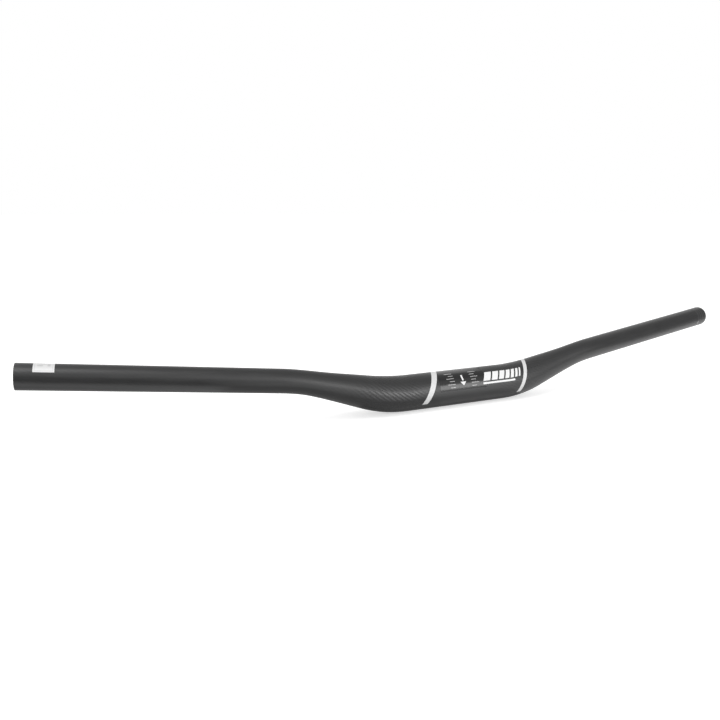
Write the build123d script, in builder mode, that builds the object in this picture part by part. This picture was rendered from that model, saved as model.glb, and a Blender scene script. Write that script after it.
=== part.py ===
from build123d import *
import os
from math import radians, tan

# Driving dimensions, in millimetres and degrees. +X runs along the clamp, +Y back to the rider, +Z up.
bar_width = 780.0  # between the centres of the two cut ends
clamp_diameter = 35.0  # straight middle stretch, held by the stem
clamp_wall = 3.0
grip_diameter = 22.2  # straight outer stretches, for grips, levers and shifters
grip_wall = 2.2
lower_bend_x = 76.0  # corner where the bar leaves the clamp axis
lower_bend_radius = 175.0
upper_bend_x = 163.0  # corner where the rise turns into the grip
upper_bend_radius = 165.0
rise = 22.0  # height of the upper corner over the clamp axis
setback = 3.5  # distance of the upper corner behind the clamp axis
backsweep = 9.0  # angle of the grip towards the rider
upsweep = 5.0  # angle of the grip upwards
taper_start = 65.0  # along the bar from its middle, where the diameter begins to fall
taper_length = 102.0  # along the bar, over which it falls to the grip's
end_chamfer = 0.5  # on the outer edge of a cut end
section_count = 13  # sections that shape the bent and tapered stretch

# Centreline of the half at +X: straight runs joined by tangent arcs
half_width = bar_width / 2
grip_reach = half_width - upper_bend_x
middle = (0, 0, 0)
lower_corner = (lower_bend_x, 0, 0)
upper_corner = (upper_bend_x, setback, rise)
end_centre = (
    half_width,
    setback + grip_reach * tan(radians(backsweep)),
    rise + grip_reach * tan(radians(upsweep)),
)
with BuildLine() as centreline:
    FilletPolyline(
        middle, lower_corner, upper_corner, end_centre, radius=[lower_bend_radius, upper_bend_radius]
    )
path = centreline.wire()
clamp_run = path.edges().sort_by(Axis.X)[0]
grip_run = path.edges().sort_by(Axis.X)[-1]

# The shaped stretch holds both bends and the whole taper, so that the clamp and the grip are true cylinders
shaped_start = min(clamp_run.length, taper_start)
shaped_end = max(path.length - grip_run.length, taper_start + taper_length)
stations = [
    shaped_start + (shaped_end - shaped_start) * step / (section_count - 1) for step in range(section_count)
]


def section_plane(distance):
    """Plane square to the bar, at a distance along it from the middle."""
    along = path.tangent_at(distance, position_mode=PositionMode.LENGTH)
    centre = path.position_at(distance, position_mode=PositionMode.LENGTH)
    return Plane(origin=centre, x_dir=Vector(0, 1, 0).cross(along), z_dir=along)


def ring(distance):
    """Section of the bar there: the taper eases from the clamp's diameter and wall into the grip's."""
    share = min(max((distance - taper_start) / taper_length, 0), 1)
    eased = share * share * (3 - 2 * share)
    diameter = clamp_diameter + (grip_diameter - clamp_diameter) * eased
    wall = clamp_wall + (grip_wall - clamp_wall) * eased
    Circle(diameter / 2)
    Circle(diameter / 2 - wall, mode=Mode.SUBTRACT)


# Handlebar: one moulded tube, with one outer half mirrored to the other side of the clamp
with BuildPart() as handlebar:
    # Bends, rise and taper
    for station in stations:
        with BuildSketch(section_plane(station)):
            ring(station)
    loft()

    # Grip
    with BuildSketch(section_plane(shaped_end)):
        ring(shaped_end)
    extrude(amount=path.length - shaped_end)

    # Cut end
    end_face = handlebar.faces().sort_by(Axis.X)[-1]
    chamfer(end_face.outer_wire().edges(), length=end_chamfer)

    mirror(about=Plane.YZ)

    # Clamp
    with BuildSketch(section_plane(0)):
        ring(0)
    extrude(amount=shaped_start, both=True)

handlebar.part.label = "handlebar"
os.makedirs("parts", exist_ok=True)
export_step(handlebar.part, "parts/handlebar.step")
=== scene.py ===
from math import ceil, cos, degrees, pi, radians, sin, tan

import bpy
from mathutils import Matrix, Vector


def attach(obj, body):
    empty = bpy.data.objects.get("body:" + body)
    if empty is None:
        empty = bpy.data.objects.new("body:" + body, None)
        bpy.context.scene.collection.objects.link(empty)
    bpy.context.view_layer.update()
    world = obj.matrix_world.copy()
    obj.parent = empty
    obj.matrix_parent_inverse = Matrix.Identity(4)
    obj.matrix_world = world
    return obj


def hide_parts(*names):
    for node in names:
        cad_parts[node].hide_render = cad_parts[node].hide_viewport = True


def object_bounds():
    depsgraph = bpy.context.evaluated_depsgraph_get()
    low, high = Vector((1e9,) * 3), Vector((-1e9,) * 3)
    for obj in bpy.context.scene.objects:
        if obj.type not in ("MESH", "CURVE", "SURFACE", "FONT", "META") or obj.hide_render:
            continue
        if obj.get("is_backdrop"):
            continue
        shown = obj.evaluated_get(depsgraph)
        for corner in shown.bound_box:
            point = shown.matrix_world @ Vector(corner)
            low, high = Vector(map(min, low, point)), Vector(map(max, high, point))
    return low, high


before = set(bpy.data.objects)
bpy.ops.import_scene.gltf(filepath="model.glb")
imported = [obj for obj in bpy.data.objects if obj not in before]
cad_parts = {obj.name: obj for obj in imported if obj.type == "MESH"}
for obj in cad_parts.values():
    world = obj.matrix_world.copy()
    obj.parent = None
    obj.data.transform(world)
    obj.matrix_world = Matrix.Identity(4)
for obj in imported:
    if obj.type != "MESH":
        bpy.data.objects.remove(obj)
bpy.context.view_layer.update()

scene = bpy.context.scene
MM = 0.001

# Form of the bar, in metres and degrees, as in the CAD part: +X along the clamp, +Y to the rider, +Z up
half_width = 390 * MM  # from the middle to the centre of a cut end
clamp_radius = 17.5 * MM
clamp_wall = 3.0 * MM
grip_radius = 11.1 * MM
grip_wall = 2.2 * MM
lower_bend_x = 76 * MM  # corner where the bar leaves the clamp's axis
lower_bend_radius = 175 * MM
upper_bend_x = 163 * MM  # corner where the rise turns into the grip
upper_bend_radius = 165 * MM
rise = 22 * MM  # height of the upper corner over the clamp's axis
setback = 3.5 * MM  # distance of the upper corner behind the clamp's axis
backsweep = 9.0  # angle of the grip towards the rider
upsweep = 5.0  # angle of the grip upwards
taper_start = 65 * MM  # along the bar from its middle
taper_length = 102 * MM
end_edge = 0.5 * MM  # rounding of the outer edge of a cut end, where the CAD part has a chamfer
bore_edge = 0.2 * MM  # bevel of its inner edge

# Fineness of the meshes
around = 128  # faces round the bar
shaped_step = 2 * MM  # between rings where the bar bends or tapers
straight_step = 6 * MM  # between rings on the straight stretches
edge_steps = 4  # rings in a rounded edge
print_angle_step = 2.5  # degrees round the bar between rows of a printed patch
print_step = 1.5 * MM  # along the bar between its columns
sharp_angle = 50.0  # edges that turn by more than this stay sharp

# Print, placed by distance along the bar from its middle and by angle round it, 0 on top and 90 in front
print_room = 0.05 * MM  # the tube lies this far under the CAD's surface, so that print on it stays within
print_lift = 0.025 * MM  # of the panel, the label and the rings over the tube
mark_lift = 0.045 * MM  # of stripes and marks over the tube, so that they also lie over other print
print_sink = 0.1 * MM  # of all print into the tube
print_back = -38.0  # angle behind the top where the stripes and the panel end
left_stripe = dict(top=-23.95 * MM, slope=-0.147 * MM, curve=0.0, width=6.0 * MM, end=122.0)
right_stripe = dict(top=88.3 * MM, slope=-0.19 * MM, curve=0.00027 * MM, width=4.6 * MM, end=124.0)
panel_middle = 1.1 * MM
panel_half = 26.7 * MM
panel_end = 86.0
tick_angles = (26.0, 36.0, 46.0, 56.0, 66.0, 76.0)
tick_thickness = 2.4  # degrees
tick_near = 9.5 * MM  # from the panel's middle
tick_lengths = (8.5 * MM, 5.5 * MM)  # by turns
centre_line = dict(first=36.0, last=56.0, width=1.8 * MM)
centre_point = dict(first=60.0, last=72.0, width=6.5 * MM, tip=0.3 * MM)
block_widths = [width * MM for width in (8.0, 7.0, 6.0, 5.0, 4.0, 3.0, 2.0)]
block_start = 29.0 * MM
block_gap = 1.8 * MM
block_slant = -0.15 * MM  # per degree
block_angles = (36.0, 66.0)
underline = dict(first=71.0, last=77.0, low=24.0 * MM, high=63.0 * MM)
label_from = -382.3 * MM
label_to = -366.3 * MM
label_back = -58.0
label_end = 58.0
label_margin = 1.1 * MM  # between the label's edge and the frame printed on it
label_line = 0.3 * MM  # thickness of that frame
label_bars = (  # first and last angle, and where they begin and end as shares of the frame's length
    (6.0, 13.0, 0.14, 0.62),
    (20.0, 27.0, 0.14, 0.46),
    (10.0, 27.0, 0.70, 0.86),
)
cut_ring_count = 4
cut_ring_first = 3.6 * MM  # from the right end
cut_ring_pitch = 4.2 * MM
cut_ring_width = 0.5 * MM
cut_dash = dict(ring=3, first=104.0, last=124.0, width=1.2 * MM)

# Weave of the carbon
tow_width = 1.0 * MM
half_tow = 0.5  # in tow widths, over which a tow rises to its crown
weave_turn = 13.0  # degrees from the bar's own direction
twill_repeat = 4  # tows before the pattern comes again
twill_over = 2  # tows of these that pass over
bend_zone = (54 * MM, 97 * MM)  # from the bar's middle, where the coat shows all of the weave
fade_zone = (40 * MM, 118 * MM)  # outside it the thicker coat of clamp and grips shows little of the weave
faint_share = 0.25  # of the weave that still shows there
no_lean = 0.5  # of a surface, in the colour of a normal map
tow_lean = 0.04  # from there, one way for tows that pass over and the other way for the rest
both_ways = (-1.0, 1.0)  # contrast of tows that pass under and over

# Finishes, with sizes along and round the bar, and pairs of values for the least and the most of a texture
map_name = "bar_map"
coat_ior = 1.5
carbon_colours = ((0.0155, 0.0155, 0.0158), (0.0205, 0.0205, 0.0209))
tow_shades = (-0.1, 0.1)
tow_roughness = (0.47, 0.29)
mottle_size = (14 * MM, 9 * MM)
mottle_roughness = (-0.04, 0.04)
streak_size = (24 * MM, 2.2 * MM)
streak_range = (0.3, 0.7)  # of the streaks' noise, from the darkest shade to the lightest
streak_roughness = (-0.05, 0.05)
grain_size = (0.5 * MM, 0.5 * MM)
grain_share = 0.15  # of the relief
weave_relief = 0.016 * MM
cut_colours = ((0.012, 0.012, 0.012), (0.045, 0.045, 0.046))
ply_thickness = 0.18 * MM
saw_size = (0.3 * MM, 0.8 * MM)
cut_roughness = (0.5, 0.75)
cut_relief = 0.03 * MM
bore_colours = ((0.010, 0.010, 0.010), (0.026, 0.026, 0.026))
fold_size = (30 * MM, 3 * MM)
bore_roughness = (0.45, 0.75)
bore_relief = 0.2 * MM
panel_colours = ((0.005, 0.005, 0.0052), (0.008, 0.008, 0.0083))
panel_cloud_size = (8 * MM, 5 * MM)
peel_size = (1.6 * MM, 1.6 * MM)
panel_roughness = (0.17, 0.25)
peel_relief = 0.012 * MM
flake_size = (0.25 * MM, 0.25 * MM)
flake_share = 0.5  # of an ink's shade, and the rest is cloud
flake_roughness = 0.05  # to either side of the ink's own
flake_relief = 0.006 * MM
ink_cloud_size = (3 * MM, 2 * MM)
ink_finishes = dict(
    stripe_silver=dict(colours=((0.60, 0.60, 0.60), (0.70, 0.70, 0.70)), metallic=0.15, rough=0.60),
    tick_grey=dict(colours=((0.32, 0.32, 0.32), (0.40, 0.40, 0.40)), metallic=0.0, rough=0.3),
    white_ink=dict(colours=((0.74, 0.74, 0.74), (0.84, 0.84, 0.84)), metallic=0.0, rough=0.4),
    label_foil=dict(colours=((0.64, 0.64, 0.64), (0.74, 0.74, 0.74)), metallic=0.0, rough=0.25),
    label_grey=dict(colours=((0.46, 0.46, 0.46), (0.54, 0.54, 0.54)), metallic=0.0, rough=0.3),
    ring_grey=dict(colours=((0.07, 0.07, 0.071), (0.10, 0.10, 0.101)), metallic=0.0, rough=0.42),
)

# Camera
camera_aim = Vector((-84.5, 38.3, -13.0)) * MM
camera_azimuth = -26.45  # degrees from straight in front, negative to the left
camera_elevation = 14.59
camera_distance = 720.8 * MM
camera_lens = 36.31  # millimetres
camera_shift = 0.0564  # of the frame, because the photograph is framed higher than its lens pointed

# Stage and light, in metres. Radiance 1 is as bright as white paper in the background.
floor_drop = 0.0177  # from the clamp's axis down to the floor
floor_half = 40.0  # of its side
floor_white = 0.8
floor_own_light = 0.55  # that lifts it to white where it is seen
world_light = 0.7  # radiance of the background for matte surfaces
front_light = dict(place=(0.68, -1.26, 0.38), aim=(0, 0, 0), width=0.62, height=0.64, radiance=5.0)
fill_light = dict(place=(0.12, -1.45, 0.70), aim=(-0.1, 0, 0), width=0.44, height=1.10, radiance=1.7)
overhead_light = dict(place=(-0.66, -0.38, 1.40), aim=(-0.40, 0, 0), width=0.70, height=0.90, radiance=3.2)
mat_lift = 0.0005  # of the cards that lie on the floor
mat_level = mat_lift - floor_drop
# Cards that show only as reflections on the bar: grey level, and two opposite corners, upright or level
cards = dict(
    front_card=(0.25, (-1.8, -1.7, -floor_drop), (-0.1, -1.7, 0.62)),
    right_card=(0.34, (1.5, -1.2, -floor_drop), (1.5, 0.5, 1.3)),
    ceiling_card=(0.6, (-0.25, -0.7, 1.5), (2.2, 2.6, 1.5)),
    # Painted highlight: a glowing card, brighter than white and no lamp, that puts a sheen on the top of
    # the gloss panel
    panel_sheen_card=(1.25, (0.008, 0.012, 0.06), (0.066, 0.09, 0.06)),
    left_mat=(0.25, (-1.8, -1.7, mat_level), (-0.23, -0.04, mat_level)),
    back_mat=(0.7, (-1.2, 0.02, mat_level), (-0.23, 0.3, mat_level)),
    # Painted shadow: the next four mats stand for the bar's shadow on the floor as its reflections show it,
    # darkest just under and behind the bar
    under_shadow_mat=(0.6, (-0.23, -0.06, mat_level), (-0.02, -0.012, mat_level)),
    clamp_shadow_mat=(0.75, (-0.02, -0.032, mat_level), (0.075, -0.012, mat_level)),
    bend_shadow_mat=(0.62, (-0.23, -0.012, mat_level), (-0.105, 0.12, mat_level)),
    shade_mat=(0.33, (-0.105, -0.012, mat_level), (0.08, 0.12, mat_level)),
    # Painted reflection: a glowing card, brighter than white and no lamp, for the front softbox mirrored in
    # a glossy floor
    softbox_reflection_mat=(2.4, (-0.07, -0.34, mat_level), (0.12, -0.06, mat_level)),
    right_mat=(0.45, (0.34, -1.2, mat_level), (1.5, -0.02, mat_level)),
)


# Centreline and section
def centreline_runs():
    """Straight runs and tangent arcs of the half at +X: start, heading, way it bends, radius and length."""
    reach = half_width - upper_bend_x
    corners = [
        Vector((0, 0, 0)),
        Vector((lower_bend_x, 0, 0)),
        Vector((upper_bend_x, setback, rise)),
        Vector((
            half_width,
            setback + reach * tan(radians(backsweep)),
            rise + reach * tan(radians(upsweep)),
        )),
    ]
    made = []
    start = corners[0]
    for i, radius in ((1, lower_bend_radius), (2, upper_bend_radius)):
        heading = (corners[i] - corners[i - 1]).normalized()
        onward = (corners[i + 1] - corners[i]).normalized()
        turn = heading.angle(onward)
        cut = radius * tan(turn / 2)
        inward = (onward - heading * onward.dot(heading)).normalized()
        arc_start = corners[i] - heading * cut
        made.append((start, heading, inward, 0, (arc_start - start).length))
        made.append((arc_start, heading, inward, radius, radius * turn))
        start = corners[i] + onward * cut
    made.append((start, onward, inward, 0, (corners[-1] - start).length))
    return made


runs = centreline_runs()
half_length = sum(run[-1] for run in runs)


def bar_axes(distance):
    """Centre of the bar at a distance along it from the middle, and its upward and forward directions."""
    remaining = abs(distance)
    for run in runs:
        start, heading, inward, radius, length = run
        if remaining <= length or run is runs[-1]:
            break
        remaining -= length
    if radius:
        turn = remaining / radius
        centre = start + (heading * sin(turn) + inward * (1 - cos(turn))) * radius
        along = heading * cos(turn) + inward * sin(turn)
    else:
        centre = start + heading * remaining
        along = heading.copy()
    if distance < 0:
        centre.x = -centre.x
        along = Vector((along.x, -along.y, -along.z))
    up = (Vector((0, 0, 1)) - along * along.z).normalized()
    return centre, up, along.cross(up)


def round_bar(distance, turns, radius):
    """Points round the bar at a distance along it, at angles in radians and a radius from its centre."""
    centre, up, front = bar_axes(distance)
    return [centre + (up * cos(turn) + front * sin(turn)) * radius for turn in turns]


def taper(distance):
    """How far the bar has gone from the clamp's section to the grip's there, from 0 to 1."""
    share = min(max((abs(distance) - taper_start) / taper_length, 0), 1)
    return share * share * (3 - 2 * share)


def outer_radius(distance):
    """Radius of the tube's surface there, which leaves room for print."""
    return clamp_radius + (grip_radius - clamp_radius) * taper(distance) - print_room


def inner_radius(distance):
    """Radius of the bore there."""
    wall = clamp_wall + (grip_wall - clamp_wall) * taper(distance)
    return outer_radius(distance) + print_room - wall


# Meshes
def build_mesh(name, points, faces, uvs, materials, face_materials):
    """Object that is smooth except at sharp edges, with a map in metres along and round the bar."""
    mesh = bpy.data.meshes.new(name)
    mesh.from_pydata(points, [], faces)
    layer = mesh.uv_layers.new(name=map_name)
    for item, corner in zip(layer.data, uvs):
        item.uv = corner
    for material in materials:
        mesh.materials.append(material)
    mesh.polygons.foreach_set("material_index", face_materials)
    mesh.shade_smooth()
    mesh.set_sharp_from_angle(angle=radians(sharp_angle))
    made = bpy.data.objects.new(name, mesh)
    scene.collection.objects.link(made)
    return made


def swept(rings):
    """Points, faces and map of a closed chain of rings: distance, radius and place along the map."""
    points, faces, uvs = [], [], []
    turns = [-pi + 2 * pi * i / around for i in range(around + 1)]
    for distance, radius, _ in rings:
        points += round_bar(distance, turns[:-1], radius)
    for k, (_, radius, along) in enumerate(rings):
        after = (k + 1) % len(rings)
        _, next_radius, next_along = rings[after]
        for i in range(around):
            j = (i + 1) % around
            low, high = turns[i], turns[i + 1]
            faces.append((k * around + i, k * around + j, after * around + j, after * around + i))
            uvs += [
                (along, low * radius), (along, high * radius),
                (next_along, high * next_radius), (next_along, low * next_radius),
            ]
    return points, faces, uvs


# Bar
COAT, CUT, BORE = range(3)  # kinds of the tube's surface, in the order of its materials


def half_places():
    """Distances of the rings at +X, from the one after the middle to where the end's edge begins."""
    clamp_end, grip_start = runs[0][-1], half_length - runs[-1][-1]
    places = []
    for first, last, step in (
        (0, clamp_end, straight_step),
        (clamp_end, grip_start, shaped_step),
        (grip_start, half_length - end_edge, straight_step),
    ):
        count = ceil((last - first) / step)
        places += [first + (last - first) * i / count for i in range(1, count + 1)]
    return places


def bar_rings():
    """Rings of the closed tube in order, and the kind of surface that follows each of them."""
    places = half_places()
    limit = places[-1]
    outside = [(distance, outer_radius(distance), distance) for distance in places]
    for i in range(1, edge_steps + 1):
        turn = pi / 2 * i / edge_steps
        outside.append((
            limit + end_edge * sin(turn),
            outer_radius(limit) - end_edge * (1 - cos(turn)),
            limit + end_edge * turn,
        ))
    _, face_radius, face_along = outside[-1]
    bevel_radius = grip_radius - grip_wall + bore_edge
    bevel = (half_length, bevel_radius, face_along + face_radius - bevel_radius)
    inner_places = places[:-1] + [half_length - bore_edge]
    inside = [(distance, inner_radius(distance), distance) for distance in inner_places]

    def mirrored(ring):
        distance, radius, along = ring
        return -distance, radius, -along

    outer = [mirrored(ring) for ring in reversed(outside)] + [(0, outer_radius(0), 0)] + outside
    inner = [mirrored(ring) for ring in reversed(inside)] + [(0, inner_radius(0), 0)] + inside
    rings = outer + [bevel] + inner[::-1] + [mirrored(bevel)]
    kinds = [COAT] * (len(outer) - 1) + [CUT, CUT] + [BORE] * (len(inner) - 1) + [CUT, CUT]
    return rings, kinds


def build_bar(materials):
    """The tube, with a material for each kind of its surface."""
    rings, kinds = bar_rings()
    points, faces, uvs = swept(rings)
    face_kinds = [kind for kind in kinds for _ in range(around)]
    return build_mesh("handlebar_tube", points, faces, uvs, materials, face_kinds)


# Printed patches
def patch(first, last, low_edge, high_edge, lift):
    """Thin closed patch on the bar between two angles and two edges, which are functions of the angle."""
    rows = ceil((last - first) / print_angle_step)
    columns = ceil(max(high_edge(a) - low_edge(a) for a in (first, last)) / print_step)
    points, places, faces = [], [], []
    for height in (lift, -print_sink):
        for row in range(rows + 1):
            angle = first + (last - first) * row / rows
            for column in range(columns + 1):
                distance = low_edge(angle) + (high_edge(angle) - low_edge(angle)) * column / columns
                turn, radius = radians(angle), outer_radius(distance)
                points += round_bar(distance, [turn], radius + height)
                places.append((distance, turn * radius))
    wide, under = columns + 1, (rows + 1) * (columns + 1)
    for row in range(rows):
        for column in range(columns):
            a = row * wide + column
            faces.append((a, a + wide, a + wide + 1, a + 1))
            faces.append((under + a, under + a + 1, under + a + wide + 1, under + a + wide))
    last_row = rows * wide
    last_corner = last_row + columns
    rim = [*range(columns), *range(columns, last_corner, wide)]
    rim += [*range(last_corner, last_row, -1), *range(last_row, 0, -wide)]
    for a, b in zip(rim, rim[1:] + rim[:1]):
        faces.append((a, b, under + b, under + a))
    return points, faces, [places[i] for face in faces for i in face]


def straight(first, last, low, high, lift):
    """Patch with its sides square to the bar."""
    return patch(first, last, lambda a: low, lambda a: high, lift)


def slanted(first, last, place, width, lift):
    """Patch of even width whose middle lies at a place that follows the angle."""
    return patch(first, last, lambda a: place(a) - width / 2, lambda a: place(a) + width / 2, lift)


def band(place, width):
    """Thin ring of print all round the bar."""
    low, high = place - width / 2, place + width / 2
    over = [(distance, outer_radius(distance) + print_lift, distance) for distance in (low, high)]
    under = [(distance, outer_radius(distance) - print_sink, distance) for distance in (high, low)]
    return swept(over + under)


def stripe(top, slope, curve, width, end):
    """Stripe that comes over the top of the bar and slants down its front."""
    return slanted(print_back, end, lambda a: top + slope * a + curve * a * a, width, mark_lift)


def ticks():
    """Scale of ticks on each side of the panel's middle."""
    made = []
    for i, angle in enumerate(tick_angles):
        first, last = angle - tick_thickness / 2, angle + tick_thickness / 2
        near, far = tick_near, tick_near + tick_lengths[i % len(tick_lengths)]
        for low, high in ((-far, -near), (near, far)):
            made.append(straight(first, last, panel_middle + low, panel_middle + high, mark_lift))
    return made


def pointer():
    """Line and triangle at the panel's middle."""
    line, point = centre_line, centre_point
    half = line["width"] / 2

    def narrowing(angle):
        share = (angle - point["first"]) / (point["last"] - point["first"])
        return (point["width"] + (point["tip"] - point["width"]) * share) / 2

    return [
        straight(line["first"], line["last"], panel_middle - half, panel_middle + half, mark_lift),
        patch(
            point["first"], point["last"],
            lambda a: panel_middle - narrowing(a), lambda a: panel_middle + narrowing(a), mark_lift,
        ),
    ]


def blocks():
    """Row of slanted blocks that narrow from the panel outwards, over a line."""
    made = [straight(underline["first"], underline["last"], underline["low"], underline["high"], mark_lift)]
    first, last = block_angles
    low = block_start
    for width in block_widths:
        middle = low + width / 2
        made.append(slanted(first, last, lambda a: middle + block_slant * (a - first), width, mark_lift))
        low += width + block_gap
    return made


def label_marks():
    """Thin frame printed inside the label's edge, with plain bars in it."""
    low, high = label_from + label_margin, label_to - label_margin
    margin_turn = degrees(label_margin / grip_radius)
    line_turn = degrees(label_line / grip_radius)
    first, last = label_back + margin_turn, label_end - margin_turn
    bars = [
        straight(bar_first, bar_last, low + (high - low) * near, low + (high - low) * far, mark_lift)
        for bar_first, bar_last, near, far in label_bars
    ]
    return bars + [
        straight(first + line_turn, last - line_turn, low, low + label_line, mark_lift),
        straight(first + line_turn, last - line_turn, high - label_line, high, mark_lift),
        straight(first, first + line_turn, low, high, mark_lift),
        straight(last - line_turn, last, low, high, mark_lift),
    ]


def build_print(name, patches, material):
    """One printed piece from several patches."""
    points, faces, uvs = [], [], []
    for patch_points, patch_faces, patch_uvs in patches:
        faces += [tuple(len(points) + i for i in face) for face in patch_faces]
        points += patch_points
        uvs += patch_uvs
    made = build_mesh(name, points, faces, uvs, [material], [0] * len(faces))
    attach(made, "root")


# Materials
class Shader:
    """Principled material whose nodes are added and joined in one call each."""

    def __init__(self, name, **values):
        self.material = bpy.data.materials.new(name)
        self.material.use_nodes = True
        self.tree = self.material.node_tree
        self.surface = self.tree.nodes["Principled BSDF"]
        self.set(self.surface, values)

    def set(self, node, values):
        """Join or set a node's inputs, by name or number."""
        for key, value in values.items():
            if isinstance(value, bpy.types.NodeSocket):
                self.tree.links.new(value, node.inputs[key])
            else:
                node.inputs[key].default_value = value

    def node(self, kind, values, **settings):
        """First output of a new node."""
        made = self.tree.nodes.new(kind)
        for key, value in settings.items():
            setattr(made, key, value)
        self.set(made, values)
        return made.outputs[0]

    def math(self, operation, *values):
        return self.node("ShaderNodeMath", dict(enumerate(values)), operation=operation)

    def span(self, value, ends, within=(0.0, 1.0)):
        """Goes from one end to the other while the value goes through the range that it is within."""
        return self.node("ShaderNodeMapRange", {
            "Value": value,
            "From Min": within[0], "From Max": within[1],
            "To Min": ends[0], "To Max": ends[1],
        })

    def mapped(self, size, turn=0.0):
        """Coordinates along and round the bar, in units of a size in metres."""
        return self.node("ShaderNodeMapping", {
            "Vector": self.node("ShaderNodeUVMap", {}, uv_map=map_name),
            "Rotation": (0, 0, radians(turn)),
            "Scale": (1 / size[0], 1 / size[1], 1),
        })

    def split(self, vector):
        """Parts of a vector: along the bar, and round it."""
        made = self.tree.nodes.new("ShaderNodeSeparateXYZ")
        self.tree.links.new(vector, made.inputs[0])
        return made.outputs[0], made.outputs[1]

    def noise(self, size, detail=2.0):
        """Noise over the bar's map with features about as large as the size, along and round the bar."""
        values = {"Vector": self.mapped(size), "Scale": 1.0, "Detail": detail}
        return self.node("ShaderNodeTexNoise", values)

    def colours(self, factor, ends):
        """Colour that goes from one end to the other with the factor."""
        made = self.tree.nodes.new("ShaderNodeValToRGB")
        for element, colour in zip(made.color_ramp.elements, ends):
            element.color = (*colour, 1)
        self.tree.links.new(factor, made.inputs[0])
        return made.outputs[0]

    def bump(self, height, distance, normal=None):
        """Relief of the surface, over a normal where one is given."""
        values = {"Height": height, "Distance": distance, "Strength": 1.0}
        if normal:
            values["Normal"] = normal
        self.set(self.surface, {"Normal": self.node("ShaderNodeBump", values)})


def carbon_material():
    """Two over two twill, turned on the bar, under a matte coat."""
    shader = Shader("carbon_twill", IOR=coat_ior)
    along, across = shader.split(shader.mapped((tow_width, tow_width), weave_turn))
    step = shader.math("SUBTRACT", shader.math("FLOOR", along), shader.math("FLOOR", across))
    over = shader.math("LESS_THAN", shader.math("FLOORED_MODULO", step, twill_repeat), twill_over)

    # The weave is clear at the bends and fades towards the clamp and the grips
    from_middle = shader.math("ABSOLUTE", shader.split(shader.mapped((1, 1)))[0])
    clear = shader.math(
        "MINIMUM",
        shader.span(from_middle, (faint_share, 1.0), (fade_zone[0], bend_zone[0])),
        shader.span(from_middle, (1.0, faint_share), (bend_zone[1], fade_zone[1])),
    )
    contrast = shader.math("MULTIPLY", shader.span(over, both_ways), clear)

    # Colour and gloss
    mottle = shader.noise(mottle_size)
    streaks = shader.noise(streak_size)
    shade = shader.math(
        "ADD", shader.span(contrast, tow_shades, both_ways), shader.span(streaks, (0.0, 1.0), streak_range)
    )
    uneven = shader.math(
        "ADD", shader.span(mottle, mottle_roughness), shader.span(streaks, streak_roughness)
    )
    shader.set(shader.surface, {
        "Base Color": shader.colours(shade, carbon_colours),
        "Roughness": shader.math("ADD", shader.span(contrast, tow_roughness, both_ways), uneven),
    })

    # Tows that pass over lean one way and the others the other way, as their floats do
    lean = shader.span(contrast, (no_lean + tow_lean, no_lean - tow_lean), both_ways)
    lean_colour = shader.node("ShaderNodeCombineXYZ", {0: no_lean, 1: lean, 2: 1.0})
    leaning = shader.node("ShaderNodeNormalMap", {"Color": lean_colour}, uv_map=map_name)
    crown_along, crown_across = (shader.math("PINGPONG", part, half_tow) for part in (along, across))
    crowns = shader.math("MULTIPLY", shader.math("MULTIPLY", crown_along, crown_across), clear)
    grain = shader.math("MULTIPLY", shader.noise(grain_size, detail=1.0), grain_share)
    shader.bump(shader.math("ADD", crowns, grain), weave_relief, leaning)
    return shader.material


def cut_material():
    """Sawn laminate: thin plies round the bore."""
    shader = Shader("cut_end", IOR=coat_ior)
    plies = shader.math("PINGPONG", shader.split(shader.mapped((ply_thickness, ply_thickness)))[0], 1.0)
    saw = shader.noise(saw_size, detail=3.0)
    shader.set(shader.surface, {
        "Base Color": shader.colours(shader.math("MULTIPLY", plies, saw), cut_colours),
        "Roughness": shader.span(saw, cut_roughness),
    })
    shader.bump(shader.math("ADD", plies, saw), cut_relief)
    return shader.material


def bore_material():
    """Inside of the tube, rough from the bladder it was moulded on."""
    shader = Shader("bore_wall", IOR=coat_ior)
    folds = shader.noise(fold_size, detail=4.0)
    shader.set(shader.surface, {
        "Base Color": shader.colours(folds, bore_colours),
        "Roughness": shader.span(folds, bore_roughness),
    })
    shader.bump(folds, bore_relief)
    return shader.material


def panel_material():
    """Gloss black print with a slight orange peel."""
    shader = Shader("gloss_black", IOR=coat_ior)
    peel = shader.noise(peel_size, detail=1.0)
    shader.set(shader.surface, {
        "Base Color": shader.colours(shader.noise(panel_cloud_size), panel_colours),
        "Roughness": shader.span(peel, panel_roughness),
    })
    shader.bump(peel, peel_relief)
    return shader.material


def ink_material(name, colours, metallic, rough):
    """Ink or foil with a fine grain."""
    shader = Shader(name, Metallic=metallic, IOR=coat_ior)
    flake = shader.noise(flake_size, detail=1.0)
    cloud = shader.noise(ink_cloud_size)
    shade = shader.math(
        "ADD", shader.math("MULTIPLY", flake, flake_share), shader.math("MULTIPLY", cloud, 1 - flake_share)
    )
    shader.set(shader.surface, {
        "Base Color": shader.colours(shade, colours),
        "Roughness": shader.span(flake, (rough - flake_roughness, rough + flake_roughness)),
    })
    shader.bump(flake, flake_relief)
    return shader.material


# Pieces
bar = build_bar([carbon_material(), cut_material(), bore_material()])
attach(bar, "root")
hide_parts("handlebar")

inks = {name: ink_material(name, **finish) for name, finish in ink_finishes.items()}
build_print("stripe_left", [stripe(**left_stripe)], inks["stripe_silver"])
build_print("stripe_right", [stripe(**right_stripe)], inks["stripe_silver"])
panel = straight(print_back, panel_end, panel_middle - panel_half, panel_middle + panel_half, print_lift)
build_print("clamp_panel", [panel], panel_material())
build_print("panel_ticks", ticks(), inks["tick_grey"])
build_print("panel_pointer", pointer(), inks["white_ink"])
build_print("side_blocks", blocks(), inks["white_ink"])

label = straight(label_back, label_end, label_from, label_to, print_lift)
build_print("end_label", [label], inks["label_foil"])
build_print("label_print", label_marks(), inks["label_grey"])

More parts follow.
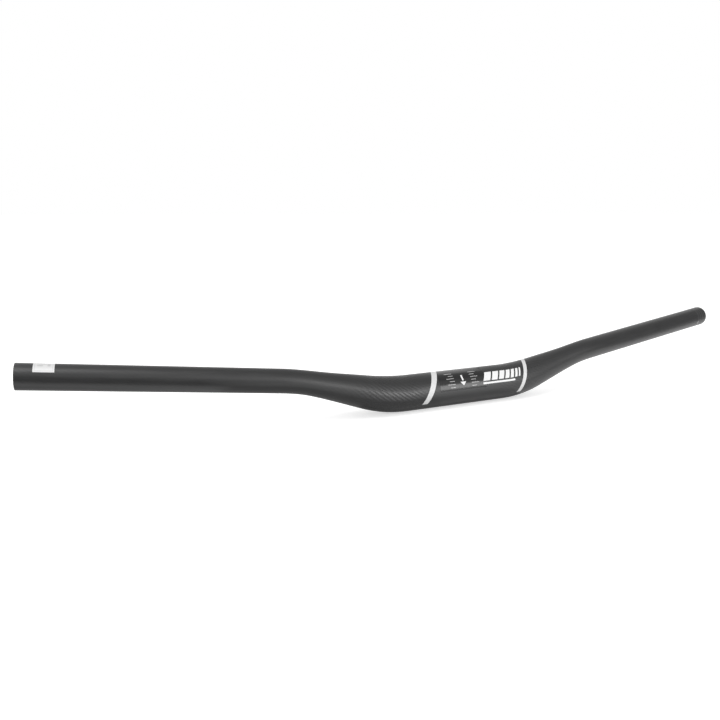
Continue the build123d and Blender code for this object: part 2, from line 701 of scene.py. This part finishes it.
ring_places = [half_length - cut_ring_first - cut_ring_pitch * i for i in range(cut_ring_count)]
cut_rings = [band(place, cut_ring_width) for place in ring_places]
build_print("cut_rings", cut_rings, inks["ring_grey"])
dash_place, dash_half = ring_places[cut_dash["ring"]], cut_dash["width"] / 2
dash_low, dash_high = dash_place - dash_half, dash_place + dash_half
dash = straight(cut_dash["first"], cut_dash["last"], dash_low, dash_high, mark_lift)
build_print("cut_dash", [dash], inks["tick_grey"])


# Stage
def stage_plane(name, corners, material):
    """Flat four-cornered piece of the stage."""
    mesh = bpy.data.meshes.new(name)
    mesh.from_pydata(corners, [], [(0, 1, 2, 3)])
    mesh.materials.append(material)
    made = bpy.data.objects.new(name, mesh)
    scene.collection.objects.link(made)
    made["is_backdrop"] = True
    return made


def stage_material(name):
    """Material that is still without a surface, its nodes, and the socket that takes the surface."""
    material = bpy.data.materials.new(name)
    material.use_nodes = True
    tree = material.node_tree
    tree.nodes.clear()
    return material, tree, tree.nodes.new("ShaderNodeOutputMaterial").inputs["Surface"]


def seen_directly(tree):
    """1 for rays from the camera, or mirrored or passed on to it, and 0 for the light on matte surfaces."""
    path = tree.nodes.new("ShaderNodeLightPath")
    total = path.outputs["Is Camera Ray"]
    for name in ("Is Glossy Ray", "Is Transmission Ray"):
        add = tree.nodes.new("ShaderNodeMath")
        add.operation = "ADD"
        add.use_clamp = True
        tree.links.new(total, add.inputs[0])
        tree.links.new(path.outputs[name], add.inputs[1])
        total = add.outputs[0]
    return total


def floor_material():
    """White floor that shades softly, lifted to white where it is seen."""
    material, tree, surface = stage_material("floor_white")
    matte = tree.nodes.new("ShaderNodeBsdfDiffuse")
    matte.inputs["Color"].default_value = (floor_white, floor_white, floor_white, 1)
    strength = tree.nodes.new("ShaderNodeMath")
    strength.operation = "MULTIPLY"
    strength.inputs[1].default_value = floor_own_light
    tree.links.new(seen_directly(tree), strength.inputs[0])
    glow = tree.nodes.new("ShaderNodeEmission")
    tree.links.new(strength.outputs[0], glow.inputs["Strength"])
    both = tree.nodes.new("ShaderNodeAddShader")
    tree.links.new(matte.outputs[0], both.inputs[0])
    tree.links.new(glow.outputs[0], both.inputs[1])
    tree.links.new(both.outputs[0], surface)
    return material


def card_material(name, grey):
    """Even grey that gives light of its own, so that it looks the same wherever it stands."""
    material, tree, surface = stage_material(name)
    glow = tree.nodes.new("ShaderNodeEmission")
    glow.inputs["Color"].default_value = (1, 1, 1, 1)
    glow.inputs["Strength"].default_value = grey
    tree.links.new(glow.outputs[0], surface)
    return material


def card(name, grey, low, high):
    """Grey card between two opposite corners that shows only as a reflection."""
    (x0, y0, z0), (x1, y1, z1) = low, high
    if z0 == z1:
        corners = [(x0, y0, z0), (x1, y0, z0), (x1, y1, z0), (x0, y1, z0)]
    else:
        corners = [(x0, y0, z0), (x1, y1, z0), (x1, y1, z1), (x0, y0, z1)]
    made = stage_plane(name, corners, card_material(name, grey))
    made.visible_camera = made.visible_diffuse = made.visible_shadow = made.visible_transmission = False


def set_world():
    """White seen behind the bar, and a softer white that lights it."""
    world = bpy.data.worlds.new("studio")
    scene.world = world
    world.use_nodes = True
    tree = world.node_tree
    strength = tree.nodes.new("ShaderNodeMapRange")
    strength.inputs["To Min"].default_value = world_light
    strength.inputs["To Max"].default_value = 1.0
    tree.links.new(seen_directly(tree), strength.inputs["Value"])
    background = tree.nodes["Background"]
    background.inputs["Color"].default_value = (1, 1, 1, 1)
    tree.links.new(strength.outputs[0], background.inputs["Strength"])


def softbox(name, place, aim, width, height, radiance):
    """Rectangular light of even brightness, turned to a point."""
    lamp = bpy.data.lights.new(name, "AREA")
    lamp.shape = "RECTANGLE"
    lamp.size, lamp.size_y = width, height
    lamp.energy = radiance * pi * width * height
    made = bpy.data.objects.new(name, lamp)
    made.location = place
    made.rotation_mode = "QUATERNION"
    made.rotation_quaternion = (Vector(aim) - Vector(place)).to_track_quat("-Z", "Y")
    scene.collection.objects.link(made)


def set_camera():
    """Camera at the photograph's viewing angle."""
    data = bpy.data.cameras.new("camera")
    data.lens = camera_lens
    data.shift_y = camera_shift
    made = bpy.data.objects.new("camera", data)
    azimuth, elevation = radians(camera_azimuth), radians(camera_elevation)
    back = Vector((sin(azimuth) * cos(elevation), -cos(azimuth) * cos(elevation), sin(elevation)))
    made.location = camera_aim + back * camera_distance
    made.rotation_mode = "QUATERNION"
    made.rotation_quaternion = (-back).to_track_quat("-Z", "Y")
    scene.collection.objects.link(made)
    scene.camera = made


floor_sides = ((-1, -1), (1, -1), (1, 1), (-1, 1))
floor_corners = [(x * floor_half, y * floor_half, -floor_drop) for x, y in floor_sides]
stage_plane("floor", floor_corners, floor_material())
set_world()
softbox("front_softbox", **front_light)
softbox("fill_softbox", **fill_light)
softbox("overhead_softbox", **overhead_light)
for name, (grey, low, high) in cards.items():
    card(name, grey, low, high)
set_camera()
scene.view_settings.view_transform = "Standard"

low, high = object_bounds()
